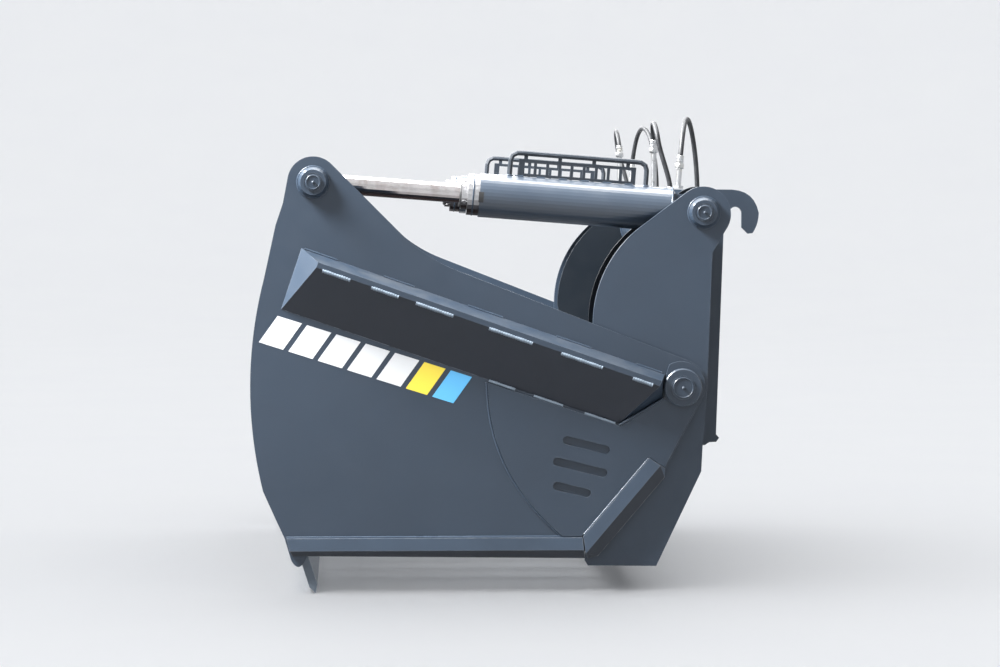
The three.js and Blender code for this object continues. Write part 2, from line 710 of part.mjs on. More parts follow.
// The rod-end hose rises from the transfer pipe, turns over inboard and drops to the riser.
const ROD_HOSE = [
  [-16.6, 715, 490.5], [-15.6, 715, 512], [-20, 715, 542], [-29, 715, 575], [-38.5, 715, 606],
  [-46, 714.5, 634], [-51, 707, 663.8], [-54.5, 685.3, 685.5], [-56, 655.5, 693.5],
  [-55.5, 625.8, 685.5], [-53, 604, 663.8], [-50.4, 596.2, 640], [RISER.x, RISER.y, RISER.top + 0.5],
];

// The base-end hose rises from the port adapter, turns over inboard and drops to the block.
const BASE_HOSE = [
  [1.9, 785, 573.2], [3.8, 785, 597], [7, 780, 625], [11, 768, 653], [16, 749, 678], [22, 725, 696],
  [29, 700, 703.5], [37, 675, 697], [45, 652, 678], [52, 636, 650], [57.5, 626, 618],
  [61.5, 621, 585], [64, 620, 550], [65, 620, 518], [FITTING.x, FITTING.y, FITTING.top + 0.5],
];

function hose(route, side) {
  const curve = new THREE.CatmullRomCurve3(route.map(([x, y, z]) => new THREE.Vector3(x, side * y, z)));
  return bar(curve, HOSE_R, 20, 8);
}

for (const { side, hand } of SIDES) {
  piece(grab, `hose_block_${hand}`, hoseBlock(side), zinc);
  piece(grab, `rod_hose_${hand}`, hose(ROD_HOSE, side), rubber);
  piece(grab, `base_hose_${hand}`, hose(BASE_HOSE, side), rubber);
}

grab.position.set((JAW_RADIUS - HOOK_NOSE_X) / 2, 0, -BLADE_TIP.z);

export default grab;
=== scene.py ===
import math

import bpy
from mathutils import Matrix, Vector


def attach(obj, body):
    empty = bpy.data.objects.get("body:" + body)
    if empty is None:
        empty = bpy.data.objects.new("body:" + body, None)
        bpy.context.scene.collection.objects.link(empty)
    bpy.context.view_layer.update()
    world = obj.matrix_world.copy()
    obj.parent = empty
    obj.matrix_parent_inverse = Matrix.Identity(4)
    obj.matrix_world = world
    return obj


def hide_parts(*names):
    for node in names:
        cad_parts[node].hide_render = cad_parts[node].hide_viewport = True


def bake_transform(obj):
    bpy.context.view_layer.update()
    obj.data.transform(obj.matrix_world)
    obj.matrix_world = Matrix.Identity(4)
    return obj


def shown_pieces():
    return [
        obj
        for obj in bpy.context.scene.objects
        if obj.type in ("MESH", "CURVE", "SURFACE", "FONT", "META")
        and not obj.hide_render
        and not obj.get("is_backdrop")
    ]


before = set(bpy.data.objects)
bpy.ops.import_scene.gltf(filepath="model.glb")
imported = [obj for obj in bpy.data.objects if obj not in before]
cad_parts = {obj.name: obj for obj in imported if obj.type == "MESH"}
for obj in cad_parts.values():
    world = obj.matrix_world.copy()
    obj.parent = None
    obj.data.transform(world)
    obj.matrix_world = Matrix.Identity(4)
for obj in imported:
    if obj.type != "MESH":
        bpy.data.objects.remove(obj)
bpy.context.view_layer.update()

# Every dimension below is in millimetres from the jaw pivot, X rearward and Z up, as in the
# CAD drawing. at() turns such a point into the row frame.
SHIFT = (441.5, 0.0, 537.0)
HANDS = ((-1, "left"), (1, "right"))


def at(x, y, z):
    return Vector(((x + SHIFT[0]) / 1000, y / 1000, (z + SHIFT[2]) / 1000))


# ---------------------------------------------------------------- materials

class Nodes:
    """A material's node tree, with short calls that add and link nodes."""

    def __init__(self, name):
        self.material = bpy.data.materials.new(name)
        self.material.use_nodes = True
        self.tree = self.material.node_tree
        self.shader = self.tree.nodes["Principled BSDF"]
        self.place = self.tree.nodes.new("ShaderNodeTexCoord").outputs["Object"]

    def add(self, kind, **inputs):
        node = self.tree.nodes.new(kind)
        for key, value in inputs.items():
            self.put(node.inputs[key.replace("_", " ")], value)
        return node

    def put(self, socket, value):
        if isinstance(value, bpy.types.NodeSocket):
            self.tree.links.new(value, socket)
        else:
            socket.default_value = value

    def noise(self, scale, detail=2.0, rough=0.5, stretch=None):
        where = self.place
        if stretch:
            mapping = self.add("ShaderNodeMapping", Vector=self.place, Scale=stretch)
            where = mapping.outputs["Vector"]
        node = self.add("ShaderNodeTexNoise", Vector=where, Scale=scale, Detail=detail,
                        Roughness=rough)
        return node.outputs["Fac"]

    def ramp(self, value, low, high, to_low=0.0, to_high=1.0):
        node = self.tree.nodes.new("ShaderNodeMapRange")
        self.put(node.inputs["Value"], value)
        node.inputs["From Min"].default_value = low
        node.inputs["From Max"].default_value = high
        node.inputs["To Min"].default_value = to_low
        node.inputs["To Max"].default_value = to_high
        return node.outputs["Result"]

    def math(self, operation, a, b):
        node = self.tree.nodes.new("ShaderNodeMath")
        node.operation = operation
        node.use_clamp = True
        self.put(node.inputs[0], a)
        self.put(node.inputs[1], b)
        return node.outputs["Value"]

    def mix(self, factor, a, b):
        node = self.tree.nodes.new("ShaderNodeMix")
        node.data_type = "RGBA"
        self.put(node.inputs["Factor"], factor)
        self.put(node.inputs[6], a)
        self.put(node.inputs[7], b)
        return node.outputs[2]

    def edges(self, radius):
        """Near 1 along outside edges and 0 on flat faces."""
        bevel = self.tree.nodes.new("ShaderNodeBevel")
        bevel.samples = 4
        bevel.inputs["Radius"].default_value = radius
        face = self.tree.nodes.new("ShaderNodeNewGeometry").outputs["Normal"]
        dot = self.tree.nodes.new("ShaderNodeVectorMath")
        dot.operation = "DOT_PRODUCT"
        self.put(dot.inputs[0], bevel.outputs["Normal"])
        self.put(dot.inputs[1], face)
        return self.ramp(dot.outputs["Value"], 0.985, 0.86)

    def facing(self, low, high):
        """0 where the surface's upward lean is at low, 1 where it is at high."""
        face = self.tree.nodes.new("ShaderNodeNewGeometry").outputs["Normal"]
        split = self.tree.nodes.new("ShaderNodeSeparateXYZ")
        self.put(split.inputs[0], face)
        return self.ramp(split.outputs["Z"], low, high)

    def bump(self, height, distance, strength=1.0, below=None):
        node = self.add("ShaderNodeBump", Height=height, Distance=distance, Strength=strength)
        if below is not None:
            self.put(node.inputs["Normal"], below)
        return node.outputs["Normal"]

    def set(self, **sockets):
        for key, value in sockets.items():
            self.put(self.shader.inputs[key.replace("_", " ")], value)
        return self.material


def shade(color, factor):
    return tuple(min(1.0, c * factor) for c in color) + (1.0,)


BARE_EDGE = (0.2, 0.23, 0.27, 1)
# Colour of the lighter upward faces: a dusting, and also painted top light.
DUSTY_LIT_TOP_COLOR = (0.2, 0.2, 0.19, 1)
RUST = (0.17, 0.075, 0.035, 1)


def paint(name, color, rough=0.36, edge=0.5, dusty_lit_top=0.25, grain=0.00009, specular=0.42, coat=0.15):
    """Sprayed gloss paint: orange peel, uneven gloss and rubbed edges, with upward faces made lighter
    in patches: partly a dusting, partly painted top light.
    """
    n = Nodes(name)
    cloud = n.ramp(n.noise(2.3, 5.0, 0.6), 0.35, 0.68)
    base = n.mix(cloud, shade(color, 0.93), shade(color, 1.07))
    speck = n.math("MULTIPLY", n.ramp(n.noise(140, 3.0, 0.7), 0.62, 0.72), 0.22)
    base = n.mix(speck, base, shade(color, 1.5))
    # Upward faces lighter in patches: partly a dusting, partly painted top light.
    dusty_lit_top_mask = n.math("MULTIPLY", n.facing(0.35, 1.0), n.ramp(n.noise(9, 6.0, 0.7), 0.4, 0.75))
    base = n.mix(n.math("MULTIPLY", dusty_lit_top_mask, dusty_lit_top), base, DUSTY_LIT_TOP_COLOR)
    worn = n.math("MULTIPLY", n.edges(0.0022), n.ramp(n.noise(38, 5.0, 0.7), 0.38, 0.62))
    base = n.mix(n.math("MULTIPLY", worn, edge), base, BARE_EDGE)
    gloss = n.ramp(n.noise(17, 4.0, 0.6), 0.3, 0.7, rough - 0.05, rough + 0.09)
    peel = n.bump(n.noise(420, 2.0, 0.5), grain)
    wave = n.bump(n.noise(7, 2.0, 0.4), 0.0011, 0.5, peel)
    return n.set(Base_Color=base, Roughness=gloss, Metallic=0.0, Specular_IOR_Level=specular,
                 Coat_Weight=coat, Coat_Roughness=0.22, Normal=wave)


def knife_steel(name, color):
    """Painted wear steel whose ground edge is bare and scratched lengthwise."""
    n = Nodes(name)
    cloud = n.ramp(n.noise(6, 5.0, 0.65), 0.3, 0.7)
    base = n.mix(cloud, shade(color, 0.88), shade(color, 1.12))
    worn = n.math("MULTIPLY", n.edges(0.004), n.ramp(n.noise(30, 6.0, 0.75), 0.35, 0.6))
    base = n.mix(n.math("MULTIPLY", worn, 0.75), base, (0.3, 0.31, 0.33, 1))
    scratch = n.noise(60, 4.0, 0.6, (0.5, 1.0, 14.0))
    gloss = n.ramp(scratch, 0.3, 0.7, 0.3, 0.48)
    lines = n.bump(scratch, 0.00025)
    peel = n.bump(n.noise(380, 2.0), 0.0001, 1.0, lines)
    return n.set(Base_Color=base, Roughness=gloss, Metallic=0.25, Specular_IOR_Level=0.55,
                 Normal=peel)


def forged(name, color):
    """Hot-forged steel under thin paint: lumpy scale, with rust showing through in places."""
    n = Nodes(name)
    cloud = n.ramp(n.noise(30, 6.0, 0.7), 0.35, 0.65)
    base = n.mix(cloud, shade(color, 0.8), shade(color, 1.25))
    rust = n.math("MULTIPLY", n.ramp(n.noise(75, 5.0, 0.7), 0.6, 0.72), 0.55)
    base = n.mix(rust, base, RUST)
    gloss = n.ramp(cloud, 0.0, 1.0, 0.38, 0.6)
    lumps = n.bump(n.noise(120, 4.0, 0.6), 0.0006)
    return n.set(Base_Color=base, Roughness=gloss, Metallic=0.35, Normal=lumps)


def bright_metal(name, color, rough, lathe=0.0, tint=None, under=None):
    """Plated metal: fine turning marks, faint stains and uneven gloss, and a darker underside that is
    painted shade and painted reflection.
    """
    n = Nodes(name)
    cloud = n.ramp(n.noise(40, 5.0, 0.65), 0.35, 0.7)
    base = n.mix(cloud, shade(color, 0.86), shade(color, 1.06))
    if tint:
        stain = n.math("MULTIPLY", n.ramp(n.noise(22, 4.0, 0.6), 0.5, 0.75), 0.5)
        base = n.mix(stain, base, tint)
    # Downward faces darker: painted shade and painted reflection.
    if under:
        base = n.mix(n.facing(-0.15, -0.75), base, under)
    gloss = n.ramp(n.noise(110, 4.0, 0.7), 0.3, 0.7, rough * 0.8, rough * 1.3)
    marks = n.bump(n.noise(300, 3.0, 0.6, (6.0, 1.0, 1.0)), 0.00002 + lathe)
    return n.set(Base_Color=base, Roughness=gloss, Metallic=1.0, Normal=marks)


def hose_rubber(name):
    """Fabric-impressed rubber cover with a faint bloom."""
    n = Nodes(name)
    bloom = n.ramp(n.noise(26, 5.0, 0.7), 0.4, 0.72)
    base = n.mix(bloom, (0.012, 0.013, 0.015, 1), (0.034, 0.036, 0.04, 1))
    gloss = n.ramp(bloom, 0.0, 1.0, 0.42, 0.6)
    weave = n.bump(n.noise(950, 2.0, 0.5, (1.0, 1.0, 0.45)), 0.00035)
    return n.set(Base_Color=base, Roughness=gloss, Specular_IOR_Level=0.45, Normal=weave)


def vinyl(name, color):
    """Printed adhesive film: soft gloss, faint bubbles and scuffs."""
    n = Nodes(name)
    scuff = n.math("MULTIPLY", n.ramp(n.noise(50, 6.0, 0.75, (1.0, 1.0, 3.0)), 0.58, 0.74), 0.3)
    base = n.mix(scuff, shade(color, 1.0), shade(color, 0.62))
    gloss = n.ramp(n.noise(24, 3.0), 0.3, 0.7, 0.3, 0.42)
    bubbles = n.bump(n.ramp(n.noise(85, 1.0), 0.62, 0.72), 0.00008)
    return n.set(Base_Color=base, Roughness=gloss, Normal=bubbles)


BODY_PAINT = (0.023, 0.035, 0.053)
PAINT = paint("body_paint", BODY_PAINT)
FRAME_PAINT = paint("frame_side_paint", shade(BODY_PAINT, 1.06)[:3])
# Parts inside the grab: the body paint darkened to 0.42, a painted shade.
INNER_SHADE_PAINT = paint("inner_painted_shade", shade(BODY_PAINT, 0.42)[:3], 0.48, dusty_lit_top=0.2)
BARREL_PAINT = paint("barrel_paint", shade(BODY_PAINT, 1.15)[:3], 0.34, specular=0.62, coat=0.7)
# The inner clevis plates sit between the outer plates; their near-black colour is painted shade.
CLEVIS_SHADE_PAINT = paint("clevis_painted_shade", (0.004, 0.007, 0.011), 0.55, dusty_lit_top=0.1, specular=0.2,
                     coat=0.0)
# The rib's down-facing wide faces: painted shade.
RIB_SHADE_PAINT = paint("rib_face_painted_shade", (0.012, 0.016, 0.025), 0.42, 0.6)
WELD_PAINT = paint("weld_paint", shade(BODY_PAINT, 1.25)[:3], 0.3, 0.9, 0.1, 0.0002)
# The rib's nose and foot stitches are much lighter than the paint: painted highlight where they catch
# the light from above.
STITCH_HIGHLIGHT_PAINT = paint("stitch_painted_highlight", (0.16, 0.2, 0.245), 0.32, 0.9, 0.1, 0.0002)
# The gland's and the rod's darker under colours are painted shade and painted reflection on their
# lower halves.
GLAND_STEEL = bright_metal("gland_steel", (0.52, 0.52, 0.53), 0.34, tint=(0.2, 0.16, 0.15, 1),
                           under=(0.05, 0.036, 0.036, 1))
KNIFE = knife_steel("knife_steel", (0.044, 0.064, 0.094))
# The knives' down-facing ground bevels: painted shade.
BEVEL = knife_steel("knife_bevel_painted_shade", (0.022, 0.027, 0.036))
BLADE = knife_steel("blade_steel", (0.085, 0.105, 0.13))
TINE = forged("tine_forging", (0.06, 0.072, 0.09))
CHROME = bright_metal("rod_chrome", (0.66, 0.63, 0.62), 0.12, tint=(0.3, 0.2, 0.17, 1),
                      under=(0.13, 0.09, 0.085, 1))
ZINC = bright_metal("zinc_plate", (0.56, 0.57, 0.58), 0.3, 0.00004, (0.5, 0.45, 0.32, 1))
RUBBER = hose_rubber("hose_cover")
SEAL = paint("wiper_seal", (0.02, 0.02, 0.021), 0.55, 0.1, 0.1, 0.0001)
WHITE = vinyl("film_white", (0.6, 0.61, 0.62))
YELLOW = vinyl("film_yellow", (0.74, 0.58, 0.06))
BLUE = vinyl("film_blue", (0.1, 0.4, 0.7))

# What each kind of CAD part is made of. A kind is a node's name without its hand or number.
LOOKS = {
    "frame_side_plate": FRAME_PAINT, "frame_inner_plate": CLEVIS_SHADE_PAINT, "hook_plate": PAINT,
    "back_plate": INNER_SHADE_PAINT, "top_cross_tube": PAINT, "lower_beam": PAINT, "tine": TINE,
    "pivot_pin": PAINT, "rear_pin": PAINT, "rod_pin": PAINT, "jaw_side_plate": PAINT,
    "pivot_doubler": PAINT, "stiffener": PAINT, "bottom_knife": KNIFE, "diagonal_knife": KNIFE,
    "front_shell": INNER_SHADE_PAINT, "front_blade": BLADE, "inner_lug": PAINT, "jaw_cross_tube": PAINT,
    "barrel": BARREL_PAINT, "gland": GLAND_STEEL, "hose_guard": INNER_SHADE_PAINT, "transfer_pipe": ZINC,
    "port_adapter": ZINC, "rod": CHROME, "rod_eye": PAINT, "piston": ZINC, "hose_block": ZINC,
    "rod_hose": RUBBER, "base_hose": RUBBER,
}
# How far each kind of CAD part's edges are rounded, in millimetres.
EDGE_ROUND = {
    "frame_side_plate": 1.5, "frame_inner_plate": 1.5, "hook_plate": 1.5, "jaw_side_plate": 1.3,
    "pivot_doubler": 1.2, "stiffener": 1.6, "bottom_knife": 0.7, "diagonal_knife": 0.7,
    "inner_lug": 1.2, "hose_block": 1.2, "lower_beam": 2.5, "rod_eye": 1.2, "front_shell": 1.0,
    "back_plate": 1.0,
}


def smooth(mesh, angle=32):
    mesh.shade_smooth()
    mesh.set_sharp_from_angle(angle=math.radians(angle))


def round_edges(piece, width):
    bevel = piece.modifiers.new("edge_round", "BEVEL")
    bevel.width = width / 1000
    bevel.segments = 2
    bevel.limit_method = "ANGLE"
    bevel.angle_limit = math.radians(38)
    bevel.harden_normals = True


for node_name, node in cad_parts.items():
    kind = node_name.removesuffix("_left").removesuffix("_right").rstrip("_12345678")
    node.data.materials.clear()
    node.data.materials.append(LOOKS[kind])
    smooth(node.data)
    if kind in EDGE_ROUND:
        round_edges(node, EDGE_ROUND[kind])


# The rib's wide faces and the knives' ground bevels, which look down and outwards, get darker
# materials: painted shade.
SHADED_FACES = (("stiffener", RIB_SHADE_PAINT), ("bottom_knife", BEVEL), ("diagonal_knife", BEVEL))
for _, hand in HANDS:
    for kind, dark in SHADED_FACES:
        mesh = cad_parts[f"{kind}_{hand}"].data
        mesh.materials.append(dark)
        for polygon in mesh.polygons:
            if 0.6 < abs(polygon.normal.y) < 0.99 and polygon.normal.z < -0.1:
                polygon.material_index = 1


# ---------------------------------------------------------------- mesh helpers

def new_piece(name, verts, faces, material, body, angle=40, slot=None):
    """A mesh object that rides on a body. Its edges are sharp above angle, in degrees."""
    mesh = bpy.data.meshes.new(name)
    mesh.from_pydata([tuple(v) for v in verts], [], faces)
    mesh.validate()
    smooth(mesh, angle)
    mesh.materials.append(material)
    piece = bpy.data.objects.new(name, mesh)
    bpy.context.scene.collection.objects.link(piece)
    if body:
        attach(piece, body)
    return piece


def resample(points, step):
    """Points a steady distance apart along a broken line."""
    lengths = [(b - a).length for a, b in zip(points, points[1:])]
    count = max(2, round(sum(lengths) / step))
    out, i, gone = [], 0, 0.0
    for k in range(count + 1):
        want = sum(lengths) * k / count
        while i < len(lengths) - 1 and gone + lengths[i] < want:
            gone += lengths[i]
            i += 1
        out.append(points[i].lerp(points[i + 1], (want - gone) / lengths[i]))
    return out


def smooth_line(points, per=8):
    """A Catmull-Rom curve through the points."""
    ends = [2 * points[0] - points[1], *points, 2 * points[-1] - points[-2]]
    out = []
    for a, b, c, d in zip(ends, ends[1:], ends[2:], ends[3:]):
        for k in range(per):
            t = k / per
            out.append(0.5 * (2 * b + (c - a) * t + (2 * a - 5 * b + 4 * c - d) * t * t
                              + (3 * b - 3 * c + d - a) * t ** 3))
    return [*out, points[-1]]


def tube(points, radius, sides=12, closed=False):
    """Vertices and faces of a round bar along points. radius is a number or a function of
    the ring's number."""
    count = len(points)
    verts, faces = [], []
    normal = None
    for i, p in enumerate(points):
        before = points[i - 1] if i or closed else p
        after = points[(i + 1) % count] if i < count - 1 or closed else p
        along = (after - before).normalized()
        if normal is None:
            normal = along.orthogonal().normalized()
        normal = (normal - along * normal.dot(along)).normalized()
        other = along.cross(normal)
        r = radius(i) if callable(radius) else radius
        for k in range(sides):
            turn = 2 * math.pi * k / sides
            verts.append(p + (normal * math.cos(turn) + other * math.sin(turn)) * r)
    for i in range(count if closed else count - 1):
        a, b = i * sides, ((i + 1) % count) * sides
        faces += [(a + k, a + (k + 1) % sides, b + (k + 1) % sides, b + k) for k in range(sides)]
    if not closed:
        faces += [tuple(reversed(range(sides))), tuple(range((count - 1) * sides, count * sides))]
    return verts, faces


def lathe(profile, origin, axis, segments=32):
    """A piece turned about an axis from (radius, distance) pairs in millimetres, from the
    axis at one end to the axis at the other."""
    axis = axis.normalized()
    one = axis.orthogonal().normalized()
    two = axis.cross(one)
    verts, faces, rings = [], [], []
    for r, s in profile:
        middle = origin + axis * s / 1000
        if r <= 0:
            rings.append([len(verts)])
            verts.append(middle)
        else:
            rings.append(list(range(len(verts), len(verts) + segments)))
            for k in range(segments):
                turn = 2 * math.pi * (k + 0.5) / segments
                verts.append(middle + (one * math.cos(turn) + two * math.sin(turn)) * r / 1000)
    for low, high in zip(rings, rings[1:]):
        for k in range(segments):
            quad = [low[k % len(low)], low[(k + 1) % len(low)],
                    high[(k + 1) % len(high)], high[k % len(high)]]
            quad = list(dict.fromkeys(quad))
            if len(quad) > 2:
                faces.append(tuple(quad))
    return verts, faces


def hollow(profile, origin, axis, segments=40):
    """A turned ring whose profile closes on itself away from the axis."""
    verts, faces = lathe(profile, origin, axis, segments)
    last = (len(profile) - 1) * segments
    faces += [(last + k, last + (k + 1) % segments, (k + 1) % segments, k) for k in range(segments)]
    return verts, faces


def join(*parts):
    verts, faces = [], []
    for some_verts, some_faces in parts:
        start = len(verts)
        verts += some_verts
        faces += [tuple(i + start for i in face) for face in some_faces]
    return verts, faces


def bead(points, r=2.6, closed=False):
    """A laid weld: a round run whose ripples follow one another along the joint."""
    line = resample(points, 0.0022)
    if closed:
        line = line[:-1]

    def ripple(i):
        return r / 1000 * (1 + 0.13 * math.sin(i * 2.1) + 0.06 * math.sin(i * 0.37 + r))

    return tube(line, ripple, 8, closed)


def ring_line(x, y, z, r):
    turns = [math.radians(360 * k / 48) for k in range(49)]
    return [at(x + r * math.cos(t), y, z + r * math.sin(t)) for t in turns]


def arc_line(y, r, start, end, steps):
    """An arc round the jaw pivot, its ends in degrees."""
    turns = [math.radians(start + (end - start) * k / steps) for k in range(steps + 1)]
    return [at(r * math.cos(t), y, r * math.sin(t)) for t in turns]


# ---------------------------------------------------------------- camera, floor and light

camera_data = bpy.data.cameras.new("camera")
camera_data.lens = 126
camera_data.sensor_width = 36
camera_data.clip_end = 200
camera = bpy.data.objects.new("camera", camera_data)
camera.location = (-0.4256, -10.0, 1.0518)
camera.rotation_euler = (math.radians(90 - 2.348), 0, math.radians(-2.454))
bpy.context.scene.collection.objects.link(camera)
bpy.context.scene.camera = camera


def floor_material():
    n = Nodes("floor_pale")
    tone = n.ramp(n.noise(1.7, 4.0), 0.3, 0.7)
    base = n.mix(tone, (0.875, 0.875, 0.88, 1), (0.885, 0.885, 0.885, 1))
    gloss = n.ramp(n.noise(30, 3.0), 0.3, 0.7, 0.6, 0.75)
    return n.set(Base_Color=base, Roughness=gloss, Specular_IOR_Level=0.2)


def backdrop():
    """One sheet: a flat floor, and far off on every side a rise with a large radius."""
    flat, bend = 16, 14
    profile = [(0, 0), (9, 0), (flat, 0)]
    profile += [(flat + bend * math.sin(k / 5), bend - bend * math.cos(k / 5)) for k in range(1, 8)]
    profile.append((31, 22))
    profile = [(r * 1000, z * 1000) for r, z in profile]
    verts, faces = lathe(profile, Vector((0, 0, 0)), Vector((0, 0, 1)), 64)
    sheet = new_piece("floor", verts, faces, floor_material(), None, 60)
    sheet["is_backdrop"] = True


def area_light(name, place, target, size, power, alone=False):
    data = bpy.data.lights.new(name, "AREA")
    data.shape = "RECTANGLE"
    data.size, data.size_y = size
    data.energy = power
    light = bpy.data.objects.new(name, data)
    light.location = place
    light.rotation_euler = (Vector(target) - Vector(place)).to_track_quat("-Z", "Y").to_euler()
    bpy.context.scene.collection.objects.link(light)
    if alone:
        light.light_linking.receiver_collection = grab_only


grab_only = bpy.data.collections.new("grab_only")
backdrop()
# The keys, the overhead light and the rear light fall on the grab alone, so that the pale floor
# isn't washed out.
area_light("near_key", (-3.5, -1.75, 4.5), (0, -0.6, 0.75), (1.5, 1.5), 2100, alone=True)
area_light("far_key", (-3.3, 2.1, 4.5), (0, 0.6, 0.75), (1.5, 1.5), 600, alone=True)
area_light("overhead_softbox", (0.3, 0.4, 4.4), (0, 0, 0.9), (3.0, 2.2), 250, alone=True)
area_light("rear_softbox", (0.0, 5.6, 3.3), (0, 0, 0.8), (6.0, 2.4), 260, alone=True)
area_light("front_softbox", (-3.2, -7.5, 3.6), (0, 0, 0.5), (4.0, 3.0), 30)
world = bpy.data.worlds.new("studio")
world.use_nodes = True
world.node_tree.nodes["Background"].inputs["Color"].default_value = (0.95, 0.97, 1.0, 1)
world.node_tree.nodes["Background"].inputs["Strength"].default_value = 1.1
bpy.context.scene.world = world
bpy.context.scene.view_settings.view_transform = "Standard"
bpy.context.scene.view_settings.look = "None"


# ---------------------------------------------------------------- hoses

def mirrored(side, points):
    """Points drawn for the right hand, moved to the given side."""
    return [at(x, side * y, z) for x, y, z in points]


# The hoses' routes from barrel to hose block, as in the CAD.
HOSE_D = 0.013
ROD_HOSE = [
    (-16.6, 715, 490.5), (-15.6, 715, 512), (-20, 715, 542), (-29, 715, 575), (-38.5, 715, 606),
    (-46, 714.5, 634), (-51, 707, 663.8), (-54.5, 685.3, 685.5), (-56, 655.5, 693.5),
    (-55.5, 625.8, 685.5), (-53, 604, 663.8), (-50.4, 596.2, 640), (-50, 596, 616.5),
]
BASE_HOSE = [
    (1.9, 785, 573.2), (3.8, 785, 597), (7, 780, 625), (11, 768, 653), (16, 749, 678),
    (22, 725, 696), (29, 700, 703.5), (37, 675, 697), (45, 652, 678), (52, 636, 650), (57.5, 626, 618),
    (61.5, 621, 585), (64, 620, 550), (65, 620, 518), (65, 620, 488.5),
]


def ferrule(name, line, body):
    """A crimped ferrule over one end of a hose, with a swivel nut below it."""
    r, length, hexagon = 9.6, 33, 11
    axis = line[6] - line[0]
    profile = [(0, 0), (r * 0.9, 0), (r, 1.5)]
    crimp = 2 + hexagon
    while crimp < length - 4:
        profile += [(r, crimp), (r - 0.9, crimp + 1), (r - 0.9, crimp + 2.4), (r, crimp + 3.4)]
        crimp += 6.5
    profile += [(r, length - 2.5), (r - 1.5, length), (0, length)]
    nut = [(0, -2), (r + 1.5, -2), (r + 2.6, -0.5), (r + 2.6, hexagon - 2), (r + 1.4, hexagon),
           (0, hexagon)]
    parts = join(lathe(profile, line[0], axis, 24), lathe(nut, line[0], axis, 6))
    return new_piece(name, *parts, ZINC, body, 35, "zinc")


def hose(name, route, side, node, barrel_body):
    """A hose along its smoothed route between its two ends, with a ferrule at each end."""
    line = resample(smooth_line(mirrored(side, route)), 0.004)
    piece = new_piece(name, *tube(line, HOSE_D / 2, 16), RUBBER, None, 60)
    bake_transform(piece)
    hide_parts(node)
    near = ferrule(f"{name}_barrel_ferrule", line, barrel_body)
    far = ferrule(f"{name}_block_ferrule", line[::-1], "frame")


for side, hand in HANDS:
    hose(f"rod_end_hose_{hand}", ROD_HOSE, side,
         f"rod_hose_{hand}", f"barrel_{hand}")
    hose(f"base_end_hose_{hand}", BASE_HOSE, side,
         f"base_hose_{hand}", f"barrel_{hand}")


# ---------------------------------------------------------------- pins

def nipple(name, x, y, z, side, body):
    """A grease nipple on the end of a pin: hexagon, neck and ball."""
    origin, axis = at(x, side * y, z), Vector((0, side, 0))
    hexagon = [(0, -1), (4.2, -1), (4.7, 0), (4.7, 2.2), (4.1, 2.8), (0, 2.8)]
    neck = lathe([(0, 2.4), (2.9, 2.4), (2.9, 4), (1.9, 4.7), (1.9, 5.6), (2.8, 6.4), (2.9, 7.6),
                  (2.1, 8.6), (0.8, 9), (0, 8.6)], origin, axis, 20)
    new_piece(name, *join(lathe(hexagon, origin, axis, 6), neck), PAINT, body, 35, "frame_paint")


def pin_face(name, x, y, z, side, r, body):
    """The raised rim turned on the face of a pin."""
    profile = [(r - 3.0, -0.4), (r - 0.6, -0.4), (r - 0.6, 1.0), (r - 1.4, 1.8), (r - 3.4, 1.8),
               (r - 4.2, 1.0), (r - 4.2, -0.4)]
    rim = hollow(profile, at(x, side * y, z), Vector((0, side, 0)))
    new_piece(name, *rim, PAINT, body, 35, "frame_paint")


def weld(name, lines, body, r=2.6, closed=False, material=WELD_PAINT):
    parts = [bead(line, r, closed) for line in lines]
    new_piece(name, *join(*parts), material, body, 60, "frame_paint")


def bezier(a, b, c, steps=16):
    """Points of a curve in X and Z from a to c that is drawn towards b."""
    a, b, c = Vector(a), Vector(b), Vector(c)
    return [(1 - t) ** 2 * a + 2 * t * (1 - t) * b + t * t * c
            for t in (k / steps for k in range(steps + 1))]


RIB_SLOPE = math.radians(-19.2)


def rib_top(x):
    """The height of the joint along the top of the rib."""
    return 364 + (x + 993) * math.tan(RIB_SLOPE)


def rib_nose(x):
    """The height of the lower edge of the rib's nose."""
    return rib_top(x) - 33 / math.cos(RIB_SLOPE) - 2.5


def rib_foot(x):
    """The height of the joint along the foot of the rib."""
    return 205 + (x + 1046.5) * (-300.5 / 878.8)


def dashes(side, spans, y, height, lift=0.0):
    """One short run for each span of X, at the height that a function of X gives."""
    return [mirrored(side, [(x, y, height(x) + lift) for x in span]) for span in spans]


REAR_PIN, ROD_PIN = (57, 456), (-962.5, 535)
PIN_HEAD = 26
# For each kind of pin: its place, the outer face of the plate that holds it, and its body.
PINS = (("rod_pin", ROD_PIN, 900.3, "jaw"), ("rear_pin", REAR_PIN, 882.3, "frame"))
NOSE_STITCHES = [(-938, -866), (-812, -742), (-697, -600), (-508, -396), (-321, -214), (-135, -84)]
TOP_STITCHES = [(-985, -900), (-780, -700), (-560, -470), (-330, -240), (-120, -55)]
FOOT_STITCHES = [(-506, -438), (-389, -313), (-256, -176)]

